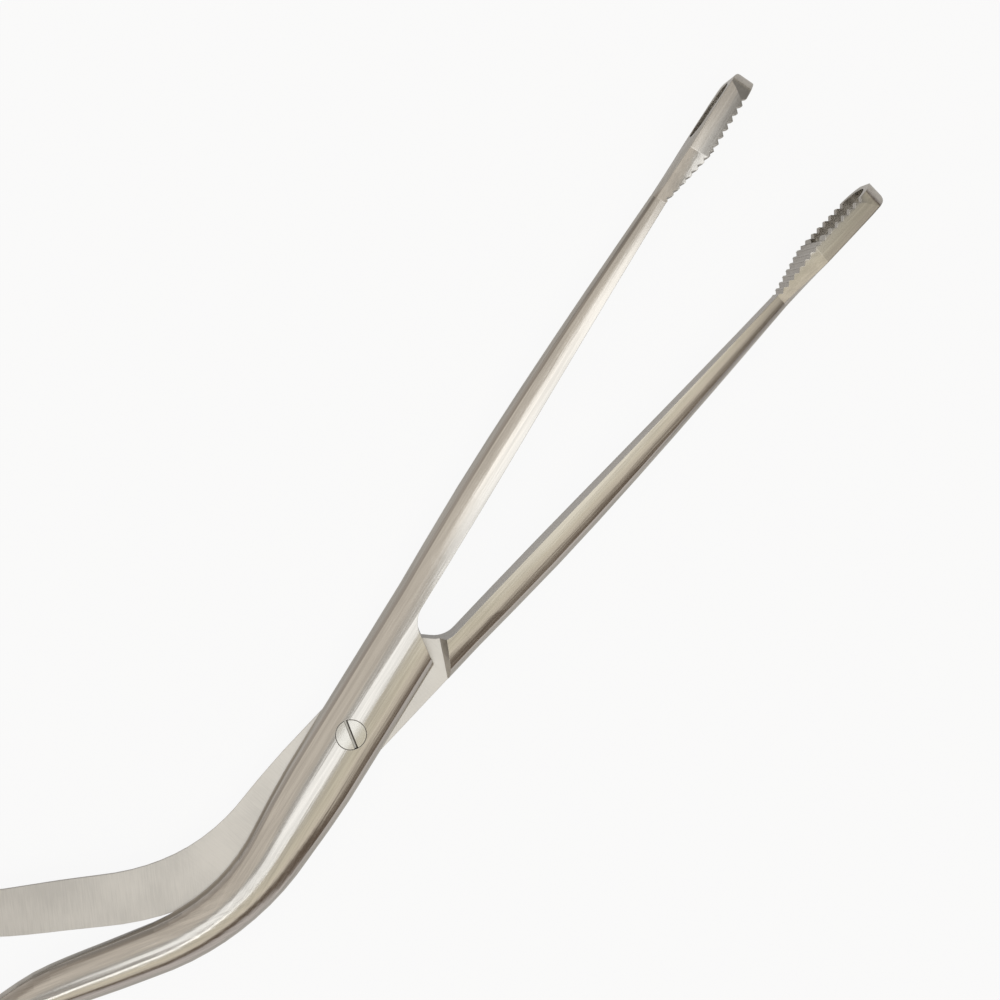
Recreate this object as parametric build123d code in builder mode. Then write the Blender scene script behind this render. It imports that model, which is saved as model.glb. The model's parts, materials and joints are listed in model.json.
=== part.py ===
from build123d import *
from math import cos, hypot, radians, sin, sqrt, tan
import os

os.makedirs("parts", exist_ok=True)

# Nasal septum forceps, in millimetres.
# While an arm is drawn, the pivot is at (0, 0, 0), X runs along the closed jaws to their tips,
# and Z runs along the pivot towards the screw head. The drawn arm has its jaw at +Y, its flat
# lap face at Z = 0 and its finger ring towards -Y. The back arm is the same forging turned over
# about X, with its handle bent the other way. Both are then swung open by half the opening.

# Opening of the jaws as the forceps lies at rest
rest_opening = 11.6

# Half-lap joint
joint_width = 10.6
arm_rise = 2.65
crown_drop = 0.9
nose_run = 1.0
lap_gap = 0.04
lap_end_x = 14.65
lap_end_angle = 54.5
lap_end_gap = 0.45
shoulder_slope = 19.0
crotch_radius = 4.0

# Pivot screw
head_diameter = 4.5
head_thickness = 1.3
journal_diameter = 3.4
thread_diameter = 3.0
journal_clearance = 0.03
head_clearance = 0.04
thread_clearance = 0.02
slot_width = 0.55
slot_depth = 0.6
slot_angle = 58.0

# Shanks, from the joint to the neck behind the jaws
shank_start_x = 22.0
flat_at_joint = 1.0
flat_at_middle = 1.35
flat_at_neck = 1.65
# Share of the way to the neck, outer side, half height, how far in and how high the crease is
shank_stations = [
    (0.25, 5.6, 2.5, 1.0, 1.7),
    (0.5, 5.35, 2.25, 0.95, 1.5),
    (0.75, 4.75, 1.95, 0.85, 1.3),
    (1.0, 3.95, 1.6, 0.75, 1.05),
]

# Fenestrated cup jaws, with places given as distances behind the tip
jaw_reach = 111.0
neck_lead = 21.4
head_lead = 13.4
head_outer = 3.75
head_rise = 4.2
head_crease_in = 0.5
head_crease_rise = 3.75
tip_radius = 4.2
tip_back_radius = 1.7
tip_rim_radius = 0.5
rim_lead = 12.3
rim_gap = 0.05
ground_at_neck = 3.9
ground_at_tip = 3.1
cup_length = 10.7
cup_width = 6.6
cup_depth = 1.7
cup_end_wall = 1.2
window_length = 9.2
window_width = 5.2
tooth_pitch = 1.27
tooth_depth = 0.55
tooth_count = 7
tooth_lead = 11.7
groove_pitch = 1.15
groove_depth = 0.45
groove_count = 8
groove_lead = 20.7

# Handles, from the joint to the finger rings
front_bend_x = 33.0
front_bend_angle = 38.2
back_bend_x = 32.3
back_bend_angle = 41.8
bend_radius = 35.0
joint_back = 9.0
# Share of the way from the joint to the handle's neck, width and half height
handle_stations = [
    (0.0, 10.6, 2.65),
    (0.09, 10.15, 2.65),
    (0.18, 9.35, 2.65),
    (0.34, 8.3, 2.6),
    (0.5, 7.9, 2.6),
    (0.67, 7.6, 2.55),
    (0.84, 6.8, 2.45),
]
# The neck lies this far before the ring's middle, and the bar's end lies inside the ring's rim
handle_neck_lead = 15.5
handle_neck_width = 4.4
handle_neck_gap = 1.4
run_out_length = 4.0
ring_root_angle = 39.0
ring_root_width = 3.0
ring_root_rise = 1.9

# Finger rings
ring_reach = 87.5
ring_bore = 20.5
ring_rim = 3.3
ring_thickness = 4.4
ring_gap = 1.7
ring_wall = 1.8
ring_crown = 0.65
ring_bevel = 0.45
web_radius = 5.0
web_thickness = 2.8

# Worked out from the values above
half_width = joint_width / 2
half_opening = rest_opening / 2
lap_flat = lap_gap / 2
crease_rise = arm_rise - crown_drop
crown_chord = half_width - nose_run
crown_radius = (crown_chord**2 + crown_drop**2) / (2 * crown_drop)
end_slant = radians(lap_end_angle)
slant_run = (flat_at_joint + half_width) / tan(end_slant)
shoulder_distance = lap_end_x * sin(end_slant) + half_width * cos(end_slant) + lap_end_gap
neck_x = jaw_reach - neck_lead
head_x = jaw_reach - head_lead
rim_x = jaw_reach - rim_lead
cup_x = jaw_reach - cup_end_wall - cup_length / 2
ramp_slope = (rim_gap - flat_at_neck) / (rim_x - neck_x)
ring_radius = ring_bore / 2 + ring_rim
ring_rise = ring_thickness / 2
rim_middle = ring_radius - ring_rim / 2
ring_shoulder = ring_radius - ring_crown
ring_shoulder_rise = ring_rise - ring_bevel
handle_neck_reach = ring_reach - handle_neck_lead
ring_root_reach = ring_reach - rim_middle * sin(radians(ring_root_angle))
beyond = 2 * joint_width
far = 2 * jaw_reach


def crown_height(distance):
    # Height of the joint's crown at a distance from its middle
    return arm_rise - crown_radius + sqrt(crown_radius**2 - distance**2)


def spine_of(bend_x, bend_angle):
    # Middle line of an arm, from the crotch back through the pivot to the finger ring
    setback = bend_radius * tan(radians(abs(bend_angle)) / 2)
    with BuildLine() as spine:
        straight = Line((shank_start_x, 0), (setback - bend_x, 0))
        bend = JernArc(straight @ 1, (-1, 0), bend_radius, -bend_angle)
        Line(bend @ 1, bend @ 1 + (bend % 1) * ring_reach)
    return spine.wire()


def spine_plane(spine, reach, shift):
    # Plane across the spine at a reach behind the pivot, shifted towards the ring's side
    along = shank_start_x + reach
    heading = spine.tangent_at(along, position_mode=PositionMode.LENGTH)
    side = Vector(0, 0, 1).cross(heading)
    middle = spine.position_at(along, position_mode=PositionMode.LENGTH)
    return Plane(origin=middle + side * shift, x_dir=side, z_dir=heading)


front_spine = spine_of(front_bend_x, front_bend_angle)
back_spine = spine_of(back_bend_x, -back_bend_angle)


def inner_edge(reach, gap):
    # Where an arm's inner edge lies beside its spine, for a gap between the closed arms
    front_point = spine_plane(front_spine, reach, 0).origin
    back_point = spine_plane(back_spine, reach, 0).origin
    return (gap - hypot(front_point.X - back_point.X, front_point.Y + back_point.Y)) / 2


handle_neck_shift = inner_edge(handle_neck_reach, handle_neck_gap) + handle_neck_width / 2
ring_shift = inner_edge(ring_reach, ring_gap) + ring_radius
ring_root_shift = ring_shift - rim_middle * cos(radians(ring_root_angle))


def refined(stations):
    # The same stations with one more between each two, on a smooth curve through them all
    ends = [stations[0]] + stations + [stations[-1]]
    fine = []
    for before, start, end, after in zip(ends, ends[1:], ends[2:], ends[3:]):
        middle = [(9 * (b + c) - a - d) / 16 for a, b, c, d in zip(before, start, end, after)]
        fine += [start, tuple(middle)]
    return fine + [stations[-1]]


def outline_across(x, flat, rise, outer, crease_y, crease_z):
    # Section of a shank or jaw: flat inner side, crowned faces and a rounded outer side
    bulge = hypot(crease_y - flat, rise - crease_z) ** 2 / (8 * crown_radius)
    bow_y = (flat + crease_y) / 2
    bow_z = (rise + crease_z) / 2 + bulge
    with BuildSketch(Plane(origin=(x, 0, 0), x_dir=(0, 1, 0), z_dir=(1, 0, 0))) as outline:
        with BuildLine():
            Line((flat, -rise), (flat, rise))
            ThreePointArc((flat, rise), (bow_y, bow_z), (crease_y, crease_z))
            ThreePointArc((crease_y, crease_z), (outer, 0), (crease_y, -crease_z))
            ThreePointArc((crease_y, -crease_z), (bow_y, -bow_z), (flat, -rise))
        make_face()
    return outline.sketch


def lap_room(spine):
    # Room for the other arm under the lap face, from the sloped shoulder to the handle's neck
    room_depth = beyond
    room_slope = room_depth * tan(radians(shoulder_slope))
    across = (sin(end_slant), cos(end_slant), 0)
    along = (cos(end_slant), -sin(end_slant), 0)
    neck = spine_plane(spine, handle_neck_reach, 0)
    steepness = run_out_length / ring_rise
    with BuildPart() as room:
        with BuildSketch(Plane(origin=(0, 0, 0), x_dir=across, z_dir=along)):
            Polygon(
                (-far, lap_flat),
                (shoulder_distance, lap_flat),
                (shoulder_distance + room_slope, lap_flat - room_depth),
                (-far, lap_flat - room_depth),
                align=None,
            )
        extrude(amount=far, both=True)
        run_out = Plane(origin=neck.origin, x_dir=neck.x_dir, z_dir=neck.z_dir + Vector(0, 0, steepness))
        split(bisect_by=run_out, keep=Keep.BOTTOM)
    return room.part


def drawn_arm(spine):
    # Sections of the shank and the jaw, from the joint's own section to past the tip
    inner = flat_at_joint / 2
    joint_station = (shank_start_x, inner, crown_height(inner), half_width, half_width - nose_run, crease_rise)
    stations = [joint_station]
    for share, outer, rise, crease_in, crease_z in shank_stations:
        x = shank_start_x + share * (neck_x - shank_start_x)
        stations += [(x, -inner, rise, outer, outer - crease_in, crease_z)]
    shank_sections = [outline_across(*station) for station in refined(stations)]
    head_sections = [
        outline_across(x, -inner, head_rise, head_outer, head_outer - head_crease_in, head_crease_rise)
        for x in (head_x, jaw_reach + tip_radius)
    ]

    with BuildPart() as arm:
        # Handle: a bar with a low crown on both sides, lofted along the spine to the ring
        handle_run = handle_neck_reach - joint_back
        sections = [(joint_back + share * handle_run, width, rise, 0) for share, width, rise in handle_stations]
        sections += [(handle_neck_reach, handle_neck_width, ring_rise, handle_neck_shift)]
        sections += [(ring_root_reach, ring_root_width, ring_root_rise, ring_root_shift)]
        for reach, width, rise, shift in refined(refined(sections)):
            scale = rise / arm_rise
            crease_y = width / 2 - nose_run * scale
            crease_z = crease_rise * scale
            with BuildSketch(spine_plane(spine, reach, shift)):
                with BuildLine():
                    ThreePointArc((-crease_y, crease_z), (0, rise), (crease_y, crease_z))
                    ThreePointArc((crease_y, crease_z), (width / 2, 0), (crease_y, -crease_z))
                    ThreePointArc((crease_y, -crease_z), (0, -rise), (-crease_y, -crease_z))
                    ThreePointArc((-crease_y, -crease_z), (-width / 2, 0), (-crease_y, crease_z))
                make_face()
        loft(ruled=True)

        # Joint: the handle's first section, run straight on to the shank
        joint_end = arm.faces().sort_by(Axis.X)[-1]
        extrude(joint_end, amount=shank_start_x + joint_back, dir=(1, 0, 0))

        # Slim shank, flat flare behind the jaw, and the jaw's head
        loft(shank_sections, ruled=True)
        loft([shank_sections[-1], head_sections[0]], ruled=True)
        loft(head_sections, ruled=True)

        # Inner side in one cut: slanted lap end, round crotch, flat of the shank, ramp and rim
        crotch_corner = (lap_end_x + slant_run, flat_at_joint)
        clear_y = -flat_at_joint - joint_width
        with BuildSketch() as inner_side:
            with BuildLine():
                Line((lap_end_x - slant_run, clear_y), crotch_corner)
                crotch_flat = Line(crotch_corner, (crotch_corner[0] + crotch_radius, flat_at_joint))
                Spline(
                    crotch_flat @ 1,
                    ((shank_start_x + neck_x) / 2, flat_at_middle),
                    (neck_x, flat_at_neck),
                    tangents=((1, 0), (1, 0)),
                )
                Polyline(
                    (neck_x, flat_at_neck),
                    (rim_x, rim_gap),
                    (jaw_reach + beyond, rim_gap),
                    (jaw_reach + beyond, clear_y),
                    (lap_end_x - slant_run, clear_y),
                )
            make_face()
            fillet(inner_side.vertices().sort_by_distance(crotch_corner)[0], crotch_radius)
        extrude(amount=beyond, both=True, mode=Mode.SUBTRACT)

        # Back of the jaw ground flat, with the tip rounded towards back and rim
        with BuildSketch() as ground:
            Polygon(
                (neck_x, ground_at_neck),
                (jaw_reach, ground_at_tip),
                (jaw_reach, rim_gap),
                (jaw_reach - tip_radius, rim_gap),
                (jaw_reach - tip_radius, -beyond),
                (jaw_reach + beyond, -beyond),
                (jaw_reach + beyond, beyond),
                (neck_x, beyond),
                align=None,
            )
            fillet(ground.vertices().sort_by_distance((jaw_reach, ground_at_tip))[0], tip_back_radius)
            fillet(ground.vertices().sort_by_distance((jaw_reach, rim_gap))[0], tip_rim_radius)
        extrude(amount=beyond, both=True, mode=Mode.SUBTRACT)

        # Round tip of the jaw
        tip_x = jaw_reach - tip_radius
        with BuildSketch(Plane(origin=(tip_x, 0, 0), x_dir=(1, 0, 0), z_dir=(0, 1, 0))):
            with Locations((beyond / 2, 0)):
                Rectangle(beyond, beyond)
            Circle(tip_radius, mode=Mode.SUBTRACT)
        extrude(amount=beyond, both=True, mode=Mode.SUBTRACT)

        # Cup, and the window through its floor
        rim_plane = Plane(origin=(cup_x, rim_gap, 0), x_dir=(1, 0, 0), z_dir=(0, 1, 0))
        with BuildSketch(rim_plane):
            SlotOverall(cup_length, cup_width)
        extrude(amount=cup_depth, mode=Mode.SUBTRACT)
        with BuildSketch(rim_plane):
            SlotOverall(window_length, window_width)
        extrude(amount=beyond, mode=Mode.SUBTRACT)

        # Teeth across the rim, and gripping grooves across the ramp behind the cup
        with BuildSketch():
            for index in range(tooth_count):
                with Locations((jaw_reach - tooth_lead + index * tooth_pitch, rim_gap)):
                    Rectangle(tooth_depth * sqrt(2), tooth_depth * sqrt(2), rotation=45)
            for index in range(groove_count):
                groove_x = jaw_reach - groove_lead + index * groove_pitch
                with Locations((groove_x, flat_at_neck + ramp_slope * (groove_x - neck_x))):
                    Rectangle(groove_depth * sqrt(2), groove_depth * sqrt(2), rotation=45)
        extrude(amount=beyond, both=True, mode=Mode.SUBTRACT)

        # Finger ring: crowned outer wall, straight inner wall, and bevels up to the middle of the rim
        ring = spine_plane(spine, ring_reach, ring_shift)
        with BuildSketch(Plane(origin=ring.origin, x_dir=ring.x_dir, z_dir=ring.z_dir)):
            with BuildLine():
                Polyline(
                    (ring_shoulder, ring_shoulder_rise),
                    (rim_middle, ring_rise),
                    (ring_bore / 2, ring_wall / 2),
                    (ring_bore / 2, -ring_wall / 2),
                    (rim_middle, -ring_rise),
                    (ring_shoulder, -ring_shoulder_rise),
                )
                ThreePointArc(
                    (ring_shoulder, -ring_shoulder_rise),
                    (ring_radius, 0),
                    (ring_shoulder, ring_shoulder_rise),
                )
            make_face()
        revolve(axis=Axis(ring.origin, (0, 0, 1)))

        # Thin web in the crotch between handle and ring, hollowed by a circle that touches both
        edge_y = handle_neck_shift + handle_neck_width / 2 - ring_shift
        web_y = edge_y + web_radius
        web_x = -sqrt((ring_radius + web_radius) ** 2 - web_y**2)
        rim_reach = rim_middle / (ring_radius + web_radius)
        with BuildSketch(Plane(origin=ring.origin, x_dir=ring.z_dir, z_dir=(0, 0, 1))):
            Polygon(
                (web_x, web_y),
                (web_x, edge_y - handle_neck_width / 2),
                (-sqrt(rim_middle**2 - edge_y**2), edge_y),
                (web_x * rim_reach, web_y * rim_reach),
                align=None,
            )
            with Locations((web_x, web_y)):
                Circle(web_radius, mode=Mode.SUBTRACT)
        extrude(amount=web_thickness / 2, both=True)

        add(lap_room(spine), mode=Mode.SUBTRACT)
    return arm.part


# Front arm, with the screw's counterbore in its crown
with BuildPart() as front_drawn:
    add(drawn_arm(front_spine))
    with Locations((0, 0, arm_rise)):
        CounterBoreHole(
            radius=journal_diameter / 2 + journal_clearance,
            counter_bore_radius=head_diameter / 2 + head_clearance,
            counter_bore_depth=head_thickness,
        )

# Back arm, with the screw's threaded hole
with BuildPart() as back_drawn:
    add(drawn_arm(back_spine))
    with Locations((0, 0, arm_rise)):
        Hole(radius=thread_diameter / 2 + thread_clearance)

# Pivot screw: head, bearing journal and thread, both ends ground to the crowns of the arms
seat_z = arm_rise - head_thickness + lap_flat
with BuildPart() as screw_drawn:
    with BuildSketch(Plane.XZ):
        with BuildLine():
            Polyline(
                (0, -beyond),
                (thread_diameter / 2, -beyond),
                (thread_diameter / 2, -lap_flat),
                (journal_diameter / 2, -lap_flat),
                (journal_diameter / 2, seat_z),
                (head_diameter / 2, seat_z),
                (head_diameter / 2, beyond),
                (0, beyond),
                close=True,
            )
        make_face()
    revolve(axis=Axis.Z)
    for side, swing in ((1, half_opening), (-1, -half_opening)):
        forward = Vector(1, 0, 0).rotate(Axis.Z, swing)
        crown_middle = (0, 0, side * (arm_rise - crown_radius))
        with BuildSketch(Plane(origin=crown_middle, x_dir=(0, 0, 1), z_dir=forward)):
            Circle(crown_radius)
        extrude(amount=beyond, both=True, mode=Mode.INTERSECT)
    with BuildSketch(Plane.XY.offset(arm_rise - slot_depth)):
        Rectangle(beyond, slot_width, rotation=slot_angle)
    extrude(amount=beyond, mode=Mode.SUBTRACT)

# Both arms swung open about the pivot, and the origin set under the middle of the whole
front_open = front_drawn.part.rotate(Axis.Z, half_opening)
back_open = back_drawn.part.rotate(Axis.X, 180).rotate(Axis.Z, -half_opening)
whole = Compound([front_open, back_open]).bounding_box()
to_origin = Location((-whole.center().X, -whole.center().Y, -whole.min.Z))

with BuildPart() as front_arm:
    add(front_open.moved(to_origin))
front_arm.part.label = "front_arm"
export_step(front_arm.part, "parts/front_arm.step")

with BuildPart() as back_arm:
    add(back_open.moved(to_origin))
back_arm.part.label = "back_arm"
export_step(back_arm.part, "parts/back_arm.step")

with BuildPart() as pivot_screw:
    add(screw_drawn.part.moved(to_origin))
pivot_screw.part.label = "pivot_screw"
export_step(pivot_screw.part, "parts/pivot_screw.step")

# Where the pivot and the two finger rings lie
pivot = Vector(to_origin.position)
front_ring = Vector(spine_plane(front_spine, ring_reach, ring_shift).origin)
back_ring = Vector(spine_plane(back_spine, ring_reach, ring_shift).origin)
back_ring_turned = Vector(back_ring.X, -back_ring.Y, 0)
print("whole", whole.size)
print("pivot", pivot)
print("front ring", front_ring.rotate(Axis.Z, half_opening) + pivot)
print("back ring", back_ring_turned.rotate(Axis.Z, -half_opening) + pivot)
print("volumes", front_arm.part.volume, back_arm.part.volume, pivot_screw.part.volume)
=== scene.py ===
# %% [markdown]
# Nasal septum forceps in satin stainless steel
# The forceps has three pieces: two forged arms that cross in a half-lap joint, and the slotted
# screw that they turn on. Their shapes are finished solids, so this lesson is about surface,
# light and camera. It starts by loading the solids as a fixed frame.
# Everything else is laid out from the pivot and from the angle that each arm is swung open by.
# Blender counts in metres here, so a millimetre gets a name.

# %% Load the frame
import json
import math

import bpy
from mathutils import Matrix, Vector

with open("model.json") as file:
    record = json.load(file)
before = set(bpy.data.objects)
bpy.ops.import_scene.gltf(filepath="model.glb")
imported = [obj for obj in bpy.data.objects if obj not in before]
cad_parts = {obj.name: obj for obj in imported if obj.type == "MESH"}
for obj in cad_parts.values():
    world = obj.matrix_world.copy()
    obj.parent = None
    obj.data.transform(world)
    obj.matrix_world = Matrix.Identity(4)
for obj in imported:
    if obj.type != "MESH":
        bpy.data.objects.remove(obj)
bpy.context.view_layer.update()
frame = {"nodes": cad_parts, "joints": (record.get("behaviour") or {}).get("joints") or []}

# %% Where the arms lie
MM = 0.001
pivot = Vector(frame["joints"][0]["pos_m"])
half_opening = math.radians(5.8)
print("the pivot is at", [round(v, 4) for v in pivot])

# %% [markdown]
# Camera
# The photo is a close-up taken from about 19 cm above the instrument, so the near parts look
# clearly larger. The camera stands at the distance and slant that give the same outline, and
# looks at a point between the jaws and the screw.

# %% Camera over the jaws
camera_from_pivot = Vector((42.93, 30.2, 185.72)) * MM
target_from_pivot = Vector((40.33, 3.31, 0)) * MM
picture_up = Vector((0.798, 0.603, 0))
camera_roll = math.radians(0.7)
sensor_width = 36.0
focal_pixels = 1277.8
picture_pixels = 1000
nearest_drawn = 10 * MM

camera_data = bpy.data.cameras.new("camera")
camera_data.sensor_width = sensor_width
camera_data.lens = focal_pixels * sensor_width / picture_pixels
camera_data.clip_start = nearest_drawn
camera = bpy.data.objects.new("camera", camera_data)
bpy.context.scene.collection.objects.link(camera)

forward = (target_from_pivot - camera_from_pivot).normalized()
right = forward.cross(picture_up).normalized()
up = right.cross(forward)
turned_right = right * math.cos(camera_roll) + up * math.sin(camera_roll)
turned_up = up * math.cos(camera_roll) - right * math.sin(camera_roll)
turn = Matrix((turned_right, turned_up, -forward)).transposed()
camera.matrix_world = Matrix.Translation(pivot + camera_from_pivot) @ turn.to_4x4()
bpy.context.scene.camera = camera
print("lens in millimetres:", round(camera_data.lens, 1))

# %% [markdown]
# Node helpers
# Every finish below is a small network of shader nodes. A few short helpers keep the networks
# readable: they add a node, feed an input, do a sum, make a smooth step, split a direction into
# its parts and mix two numbers or two colours. A Mix node keeps its inputs for numbers and for
# colours apart, so a small table gives their places.

# %% Helpers that add and feed nodes


def add_node(tree, kind, **settings):
    """Adds a node and sets its properties, or its inputs where the name is one of them."""
    node = tree.nodes.new(kind)
    for name, value in settings.items():
        label = name.replace("_", " ")
        if hasattr(node, name):
            setattr(node, name, value)
        else:
            next(s for s in node.inputs if s.name.lower() == label).default_value = value
    return node


def feed(tree, value, socket):
    """Links an output to an input, or sets the input to a plain number or colour."""
    if isinstance(value, bpy.types.NodeSocket):
        tree.links.new(value, socket)
    else:
        socket.default_value = value


def split(tree, vector):
    """The X, Y and Z of a vector."""
    parts = add_node(tree, "ShaderNodeSeparateXYZ")
    tree.links.new(vector, parts.inputs[0])
    return parts.outputs["X"], parts.outputs["Y"], parts.outputs["Z"]


print("helpers: add_node, feed, split")

# %% Helpers for sums and mixes
mix_places = {"FLOAT": (2, 3, 0), "RGBA": (6, 7, 2)}


def calculate(tree, operation, *values, clamp=False):
    """A Math node whose inputs are numbers or sockets."""
    node = add_node(tree, "ShaderNodeMath", operation=operation, use_clamp=clamp)
    for socket, value in zip(node.inputs, values):
        feed(tree, value, socket)
    return node.outputs[0]


def add_scaled(tree, start, pattern, amount):
    """The start plus an amount of the pattern."""
    return calculate(tree, "MULTIPLY_ADD", pattern, amount, start)


def ramp(tree, value, low, high, to_low=0.0, to_high=1.0):
    """A smooth change from one number to another as the value rises from low to high."""
    node = add_node(tree, "ShaderNodeMapRange", interpolation_type="SMOOTHSTEP")
    labels = ("Value", "From Min", "From Max", "To Min", "To Max")
    for label, number in zip(labels, (value, low, high, to_low, to_high)):
        feed(tree, number, node.inputs[label])
    return node.outputs["Result"]


def blend(tree, mask, first, second, kind="FLOAT"):
    """The first number or colour where the mask is 0 and the second where it is 1."""
    node = add_node(tree, "ShaderNodeMix", data_type=kind)
    first_place, second_place, result_place = mix_places[kind]
    tree.links.new(mask, node.inputs[0])
    feed(tree, first, node.inputs[first_place])
    feed(tree, second, node.inputs[second_place])
    return node.outputs[result_place]


print("helpers: calculate, add_scaled, ramp, blend")

# %% [markdown]
# Grain
# A ground surface is a field of very long, very thin scratches. Noise gives them when its
# coordinates are first turned to the direction of grinding and then squeezed along it, so each
# blob of noise is drawn out into a line. The same helper serves both the lines along the arms and
# the lines across their lap faces.

# %% Helpers for grain
line_roughness = 0.6


def turned_place(tree, angle):
    """Object coordinates about the pivot, turned to a direction."""
    place = add_node(tree, "ShaderNodeTexCoord")
    centre = add_node(tree, "ShaderNodeVectorMath", operation="SUBTRACT")
    tree.links.new(place.outputs["Object"], centre.inputs[0])
    centre.inputs[1].default_value = pivot
    turn_back = add_node(tree, "ShaderNodeVectorRotate", rotation_type="Z_AXIS")
    tree.links.new(centre.outputs[0], turn_back.inputs["Vector"])
    turn_back.inputs["Angle"].default_value = -angle
    return turn_back.outputs[0]


def squeezed(tree, place, stretch):
    """Coordinates times a number on each axis. A small number draws a pattern out."""
    squeeze = add_node(tree, "ShaderNodeVectorMath", operation="MULTIPLY")
    tree.links.new(place, squeeze.inputs[0])
    squeeze.inputs[1].default_value = stretch
    return squeeze.outputs[0]


def lines(tree, angle, stretch, scale, detail):
    """Noise drawn out into lines."""
    noise = add_node(
        tree, "ShaderNodeTexNoise", scale=scale, detail=detail, roughness=line_roughness
    )
    tree.links.new(squeezed(tree, turned_place(tree, angle), stretch), noise.inputs["Vector"])
    return noise.outputs["Fac"]


print("helpers: turned_place, squeezed, lines")

# %% [markdown]
# Bare metal
# Both finishes start from the same shader: fully metallic, with its colour, roughness and relief
# still to come. The relief is a very low bump, because a scratch is a few thousandths of a
# millimetre deep and shows only in how it bends the light.

# %% Helpers for bare metal


def new_metal(name):
    """A metallic material, with its node tree and its shader."""
    material = bpy.data.materials.new(name)
    material.use_nodes = True
    shader = material.node_tree.nodes["Principled BSDF"]
    shader.inputs["Metallic"].default_value = 1.0
    return material, material.node_tree, shader


def scratch(tree, shader, relief, strength, depth):
    """Gives a shader a very low bump, and returns the bump."""
    bump = add_node(tree, "ShaderNodeBump", strength=strength, distance=depth)
    tree.links.new(relief, bump.inputs["Height"])
    tree.links.new(bump.outputs["Normal"], shader.inputs["Normal"])
    return bump


def give_finish(node_name, material):
    """Puts a material on a finished solid."""
    slots = frame["nodes"][node_name].data.materials
    slots.clear()
    slots.append(material)


print("helpers: new_metal, scratch, give_finish")

# %% [markdown]
# Satin stainless steel
# The arms were ground along their length and then polished to a satin sheen, so their fine lines
# run along the arm, and broader ripples left by the grinding belt run under them. The lap faces
# were milled flat and ground crosswise, and are duller. A metal shows its finish in how it blurs
# reflections, so the lines drive the roughness and a very low bump, and only a little of the
# colour. The grain has to follow the arm round its bend, so there are two sets of lines, one for
# the straight part and one for the handle, and a mask that changes from one to the other. A
# Bevel node softens the light on every edge, most of all on the jaws, which are polished by hand.

# %% Lines on the steel
grain_lines = {"stretch": (0.03, 1, 1), "scale": 5200, "detail": 3}
ripple_lines = {"stretch": (0.03, 1, 1), "scale": 1500, "detail": 2}
cross_lines = {"stretch": (1, 0.05, 1), "scale": 5200, "detail": 4}
cloud_noise = {"scale": 90, "detail": 3}
ripple_height = 1.6
scratch_strength = 0.5
scratch_depth = 0.012 * MM
print("scale of the fine lines and of the ripples:", grain_lines["scale"], ripple_lines["scale"])

# %% Sheen and colour of the steel
steel_colour = (0.62, 0.6, 0.57)
dark_tone, light_tone = 0.88, 1.06
dark_below, light_above = 0.35, 0.65
broad_share, fine_share = 0.6, 0.4
ground_roughness, ground_spread = 0.07, 0.10
milled_roughness, milled_spread = 0.26, 0.16
cloud_spread = 0.06
print("steel colour:", steel_colour)

# %% Places on an arm
bend_from_pivot, bend_blend = -30 * MM, 7 * MM
lap_band = 0.08 * MM
level_normal = 0.999
edge_round, jaw_edge_round = 0.1 * MM, 0.16 * MM
jaw_starts, jaw_worn = 90 * MM, 98 * MM
edge_samples = 4
print("edges are softened over metres:", edge_round, "and at the jaws", jaw_edge_round)

# %% Masks and patterns of an arm


def lap_face_mask(tree, height):
    """1 on the flat face that slides on the other arm, and 0 elsewhere."""
    geometry = add_node(tree, "ShaderNodeNewGeometry")
    _, _, upward = split(tree, geometry.outputs["Normal"])
    level = calculate(tree, "ABSOLUTE", upward)
    flat = calculate(tree, "GREATER_THAN", level, level_normal)
    at_lap = calculate(tree, "LESS_THAN", calculate(tree, "ABSOLUTE", height), lap_band)
    return calculate(tree, "MULTIPLY", flat, at_lap)


def follow_bend(tree, reach, swing, handle_turn, **kind):
    """Lines that turn with the arm where its handle bends."""
    straight = lines(tree, swing, **kind)
    handle = lines(tree, swing + handle_turn, **kind)
    past_bend = ramp(tree, reach, bend_from_pivot + bend_blend, bend_from_pivot - bend_blend)
    return blend(tree, past_bend, straight, handle)


def arm_patterns(tree, swing, handle_turn):
    """All that the finish of an arm is made from, by name."""
    place = turned_place(tree, swing)
    reach, _, height = split(tree, place)
    cloud = add_node(tree, "ShaderNodeTexNoise", **cloud_noise)
    tree.links.new(place, cloud.inputs["Vector"])
    return {
        "reach": reach,
        "lap_face": lap_face_mask(tree, height),
        "grain": follow_bend(tree, reach, swing, handle_turn, **grain_lines),
        "ripple": follow_bend(tree, reach, swing, handle_turn, **ripple_lines),
        "cross_grain": follow_bend(tree, reach, swing, handle_turn, **cross_lines),
        "cloud": cloud.outputs["Fac"],
    }


print("helpers: lap_face_mask, follow_bend, arm_patterns")

# %% Sheen, relief and colour of an arm


def sheen(tree, shader, pattern):
    """Roughness: low on the ground metal, higher on the lap face, and a little uneven."""
    ground = add_scaled(tree, ground_roughness, pattern["grain"], ground_spread)
    milled = add_scaled(tree, milled_roughness, pattern["cross_grain"], milled_spread)
    even = blend(tree, pattern["lap_face"], ground, milled)
    uneven = add_scaled(tree, even, pattern["cloud"], cloud_spread)
    tree.links.new(uneven, shader.inputs["Roughness"])


def relief(tree, shader, pattern):
    """Scratches over a surface whose edges are softened, and more so towards the jaw's tip."""
    belt = add_scaled(tree, pattern["grain"], pattern["ripple"], ripple_height)
    height = blend(tree, pattern["lap_face"], belt, pattern["cross_grain"])
    bump = scratch(tree, shader, height, scratch_strength, scratch_depth)
    rounded = add_node(tree, "ShaderNodeBevel", samples=edge_samples)
    worn = ramp(tree, pattern["reach"], jaw_starts, jaw_worn, edge_round, jaw_edge_round)
    tree.links.new(worn, rounded.inputs["Radius"])
    tree.links.new(rounded.outputs[0], bump.inputs["Normal"])


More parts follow.
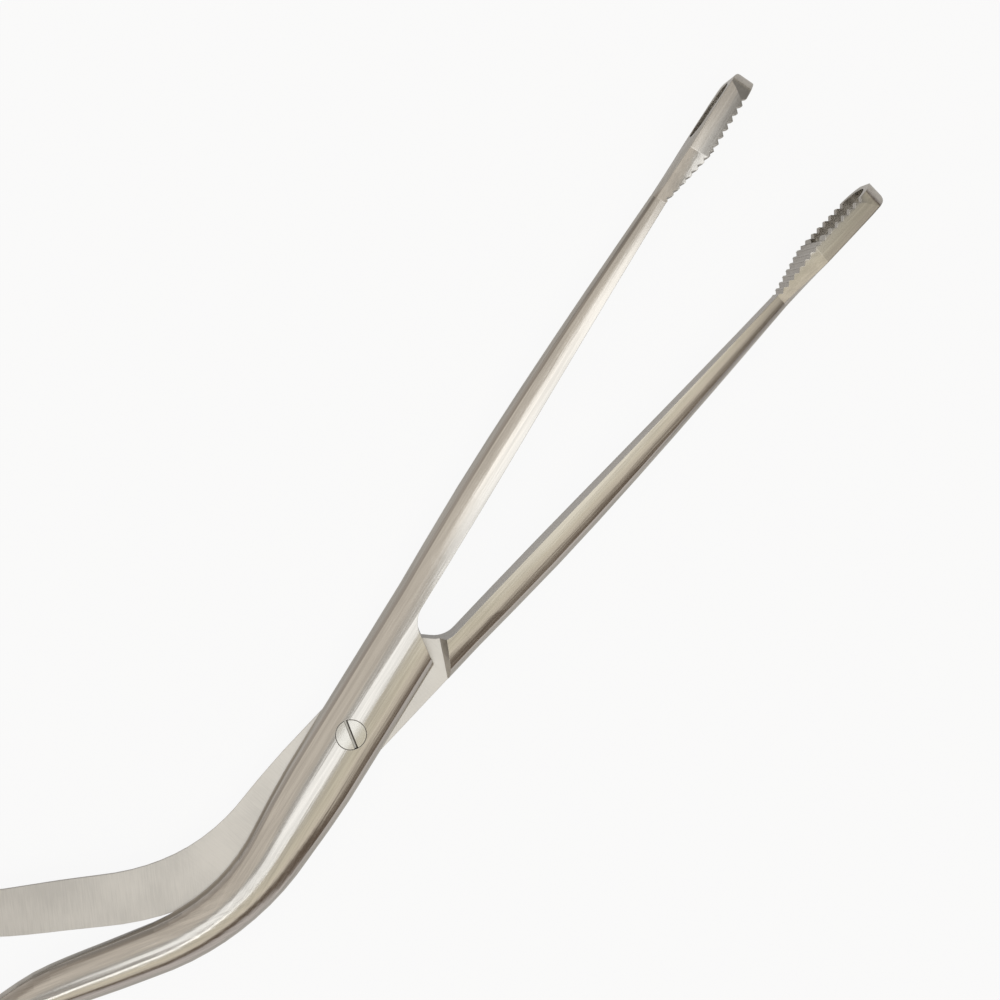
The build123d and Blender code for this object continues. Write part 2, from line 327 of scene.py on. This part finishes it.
def weigh(tree, broad, fine):
    """A broad pattern and a fine one, added up by their shares."""
    return add_scaled(tree, calculate(tree, "MULTIPLY", fine, fine_share), broad, broad_share)


def tint(tree, shader, pattern):
    """Colour that is a little darker or lighter than the steel, as the patterns say."""
    ground = weigh(tree, pattern["ripple"], pattern["grain"])
    milled = weigh(tree, pattern["cloud"], pattern["cross_grain"])
    tone = ramp(tree, blend(tree, pattern["lap_face"], ground, milled), dark_below, light_above)
    dark = tuple(dark_tone * c for c in steel_colour) + (1,)
    light = tuple(light_tone * c for c in steel_colour) + (1,)
    tree.links.new(blend(tree, tone, dark, light, "RGBA"), shader.inputs["Base Color"])


print("helpers: sheen, relief, weigh, tint")

# %% Finish both arms


def satin_steel(name, swing, handle_turn):
    """Satin steel for one arm, given how far it is swung open and how far its handle bends."""
    material, tree, shader = new_metal(name)
    pattern = arm_patterns(tree, swing, handle_turn)
    sheen(tree, shader, pattern)
    relief(tree, shader, pattern)
    tint(tree, shader, pattern)
    return material


front_turn = math.radians(-38.2)
back_turn = math.radians(-41.8)
give_finish("front_arm", satin_steel("front_arm_steel", half_opening, front_turn))
give_finish("back_arm", satin_steel("back_arm_steel", -half_opening, back_turn))
print("finished: front_arm, back_arm")

# %% [markdown]
# Screw
# The screw was faced off on a lathe, so its polishing lines are rings round its axis, and it is
# a little brighter than the arms. The rings come from noise that reads only the distance from
# the axis.

# %% Finish of the screw
ring_noise = {"scale": 9000, "detail": 2}
ring_strength = 0.3
ring_depth = 0.01 * MM
faced_roughness, faced_spread = 0.2, 0.12
faced_dark = (0.61, 0.6, 0.56, 1)
faced_light = (0.7, 0.69, 0.66, 1)

screw_steel, tree, shader = new_metal("screw_steel")
level_place = squeezed(tree, turned_place(tree, 0), (1, 1, 0))
length = add_node(tree, "ShaderNodeVectorMath", operation="LENGTH")
tree.links.new(level_place, length.inputs[0])
from_axis = length.outputs["Value"]
noise = add_node(tree, "ShaderNodeTexNoise", noise_dimensions="1D", **ring_noise)
tree.links.new(from_axis, noise.inputs["W"])
rings = noise.outputs["Fac"]
scratch(tree, shader, rings, ring_strength, ring_depth)
faced = add_scaled(tree, faced_roughness, rings, faced_spread)
shade = blend(tree, rings, faced_dark, faced_light, "RGBA")
print("faced metal of the screw, roughness from", faced_roughness)

# %% [markdown]
# Painted shade in the slot and round the head
# The screw's colour is painted dark where shade falls: in the driver slot and in the hairline
# gap round the head. Both places are found by distance, across the slot for the one and from the
# screw's axis for the other. In the slot the painted shade is deeper on one side.

# %% Painted shade in the slot
slot_angle = math.radians(58)
slot_half_width = 0.28 * MM
slot_top = 2.5 * MM
shade_shift = 0.12 * MM
light_slot_shade, full_slot_shade = 0.25, 1.0

_, across_slot, height = split(tree, turned_place(tree, slot_angle))
within = calculate(tree, "LESS_THAN", calculate(tree, "ABSOLUTE", across_slot), slot_half_width)
below = calculate(tree, "LESS_THAN", height, slot_top)
# Painted shade, deeper on one side of the slot, where one wall lies in shade.
shade_depth = ramp(tree, across_slot, shade_shift, -shade_shift, light_slot_shade, full_slot_shade)
slot_shade = calculate(tree, "MULTIPLY", calculate(tree, "MULTIPLY", within, below), shade_depth)
print("width of the film in the slot in millimetres:", round(2 * slot_half_width / MM, 2))

# %% Painted shade round the head
head_radius = 2.25 * MM
rim_from, rim_to = head_radius - 0.09 * MM, head_radius - 0.03 * MM
rim_shade_depth = 0.9
# The colour of the painted shade in the slot and in the gap round the head.
painted_shade_colour = (0.075, 0.065, 0.055, 1)
painted_shade_roughness = 0.35

# Painted shade in the hairline gap round the head.
rim_shade = ramp(tree, from_axis, rim_from, rim_to, 0, rim_shade_depth)
painted_shade = calculate(tree, "MAXIMUM", slot_shade, rim_shade, clamp=True)
# The painted shade darkens the screw's colour and raises its roughness.
tree.links.new(blend(tree, painted_shade, shade, painted_shade_colour, "RGBA"), shader.inputs["Base Color"])
tree.links.new(add_scaled(tree, faced, painted_shade, painted_shade_roughness), shader.inputs["Roughness"])
give_finish("pivot_screw", screw_steel)
print("finished: pivot_screw")

# %% [markdown]
# Table
# The photo's background is plain white. The table is a pale sheet that shows nearly white to the
# camera, and still takes the instrument's shadow. Reflections see more of the lit sheet and less
# of the plain white, so the shadow under the arms also shows in their sides. A Light Path node
# tells the two apart, and the world below needs it too, so it gets a helper.

# %% Helpers for what is seen directly


def kinds_of_sight(tree):
    """1 for what is seen directly or through glass, and 1 for what is seen in a mirror."""
    rays = add_node(tree, "ShaderNodeLightPath")
    direct, through = rays.outputs["Is Camera Ray"], rays.outputs["Is Transmission Ray"]
    return calculate(tree, "MAXIMUM", direct, through), rays.outputs["Is Glossy Ray"]


def mix_shaders(tree, share, first, second, surface):
    """Sends a mix of two shaders to a surface."""
    mix = add_node(tree, "ShaderNodeMixShader")
    for socket, value in zip(mix.inputs, (share, first, second)):
        tree.links.new(value, socket)
    tree.links.new(mix.outputs[0], surface)


print("helpers: kinds_of_sight, mix_shaders")

# %% Pale table
table_size = 2.4
table_drop = 0.02 * MM
paint_colour = (0.7, 0.69, 0.68, 1)
seen_white = 0.92
mirrored_white = 0.2

bpy.ops.object.select_all(action="DESELECT")
bpy.ops.mesh.primitive_plane_add(size=table_size, location=(pivot.x, pivot.y, -table_drop))
table = bpy.context.active_object
table.name = "table"
table_paint = bpy.data.materials.new("table_paint")
table_paint.use_nodes = True
tree = table_paint.node_tree
tree.nodes.clear()
output = add_node(tree, "ShaderNodeOutputMaterial")
paint = add_node(tree, "ShaderNodeBsdfDiffuse")
paint.inputs["Color"].default_value = paint_colour
white = add_node(tree, "ShaderNodeEmission", strength=1.0)
seen, mirrored = kinds_of_sight(tree)
seen = calculate(tree, "MULTIPLY", seen, seen_white)
mirrored = calculate(tree, "MULTIPLY", mirrored, mirrored_white)
share = calculate(tree, "MAXIMUM", seen, mirrored)
mix_shaders(tree, share, paint.outputs[0], white.outputs[0], output.inputs["Surface"])
table.data.materials.append(table_paint)
print("table of", table_size, "m")

# %% [markdown]
# Room
# Polished metal is drawn by what it reflects. The room is built as strips that run along the
# instrument, from one side wall over the ceiling to the other: pale wall, dark gap, warm ceiling,
# grey gap, warm ceiling, dim wall. Each rounded back of an arm then shows them as bands along its
# length. The strips come from the angle of a direction round the X axis, read by a colour ramp.
# The end that the jaws point to is darker, which lets the jaws stand out. In a low view the
# camera would see the strips themselves behind the instrument, so it sees plain white instead.

# %% Strips of the room
room_strips = [
    (-90, (0.66, 0.62, 0.60)),
    (-63, (0.72, 0.67, 0.64)),
    (-57, (0.15, 0.11, 0.08)),
    (-47, (0.17, 0.13, 0.10)),
    (-42, (0.92, 0.84, 0.72)),
    (-34, (0.80, 0.74, 0.60)),
    (-20, (0.74, 0.69, 0.57)),
    (-14, (0.46, 0.44, 0.41)),
    (5, (0.42, 0.40, 0.37)),
    (9, (0.50, 0.48, 0.45)),
    (13, (0.60, 0.57, 0.52)),
    (17, (0.76, 0.70, 0.62)),
    (38, (0.74, 0.68, 0.60)),
    (50, (0.40, 0.35, 0.30)),
    (90, (0.56, 0.52, 0.48)),
]
world = bpy.data.worlds.new("room")
bpy.context.scene.world = world
world.use_nodes = True
tree = world.node_tree
room = tree.nodes["Background"]
direction = add_node(tree, "ShaderNodeTexCoord")
lengthwise, sideways, upward = split(tree, direction.outputs["Generated"])
side_angle = calculate(tree, "ARCTAN2", sideways, upward)
strips = add_node(tree, "ShaderNodeValToRGB")
tree.links.new(add_scaled(tree, 0.5, side_angle, 1 / math.pi), strips.inputs[0])
stops = strips.color_ramp.elements
stops.remove(stops[1])
for index, (degrees, colour) in enumerate(room_strips):
    position = (degrees + 90) / 180
    stop = stops[0] if index == 0 else stops.new(position)
    stop.position = position
    stop.color = colour + (1,)
tree.links.new(strips.outputs[0], room.inputs["Color"])
print("strips in the room:", len(room_strips))

# %% Darker far end of the room
far_end_from, far_end_to = math.radians(11), math.radians(21)
far_end_level = 0.62
length_angle = calculate(tree, "ARCTAN2", lengthwise, upward)
level = ramp(tree, length_angle, far_end_from, far_end_to, 1.0, far_end_level)
tree.links.new(level, room.inputs["Strength"])
print("light level at the far end:", far_end_level)

# %% Plain white behind the instrument in a low view
backdrop = add_node(tree, "ShaderNodeBackground", strength=1.0)
backdrop.inputs["Color"].default_value = (1, 1, 1, 1)
seen, _ = kinds_of_sight(tree)
world_surface = tree.nodes["World Output"].inputs["Surface"]
mix_shaders(tree, seen, room.outputs[0], backdrop.outputs[0], world_surface)
print("backdrop strength:", backdrop.inputs["Strength"].default_value)

# %% [markdown]
# Lamps
# Soft panels hang two metres up, end to end. The one over the joint gives the bright band beside
# the screw, a wider pair gives the bright inner edges of the shanks, and a narrow one gives the
# handles their thin bright line. Their power is set from the brightness wanted per area, so that
# white stays near 1.

# %% Soft panels
panel_height = 2.0


def panel(name, side_angles, length_angles, brightness, colour):
    """A soft panel overhead, given by the angles from upright that its edges have at the pivot."""
    y_low, y_high = (panel_height * math.tan(math.radians(a)) for a in side_angles)
    x_low, x_high = (panel_height * math.tan(math.radians(a)) for a in length_angles)
    data = bpy.data.lights.new(name, "AREA")
    data.shape = "RECTANGLE"
    data.size = x_high - x_low
    data.size_y = y_high - y_low
    data.energy = brightness * math.pi * data.size * data.size_y
    data.color = colour
    lamp = bpy.data.objects.new(name, data)
    bpy.context.scene.collection.objects.link(lamp)
    lamp.location = pivot + Vector(((x_low + x_high) / 2, (y_low + y_high) / 2, panel_height))
    print(name, "gives", round(data.energy, 1), "W over", round(data.size * data.size_y, 2), "m2")


panel("joint_panel", (-15, 7), (-24, -5), brightness=1.03, colour=(0.97, 0.99, 1))
panel("shank_panel", (-16, 23), (-5, 17), brightness=0.95, colour=(0.97, 0.99, 1))
panel("side_panel", (-32, -16), (-5, 17), brightness=0.4, colour=(0.99, 1, 0.97))
panel("handle_panel", (-18, -14), (-60, -24), brightness=2.2, colour=(0.98, 0.99, 1))

# %% Plain colour handling
bpy.context.scene.view_settings.view_transform = "Standard"
print("view transform:", bpy.context.scene.view_settings.view_transform)
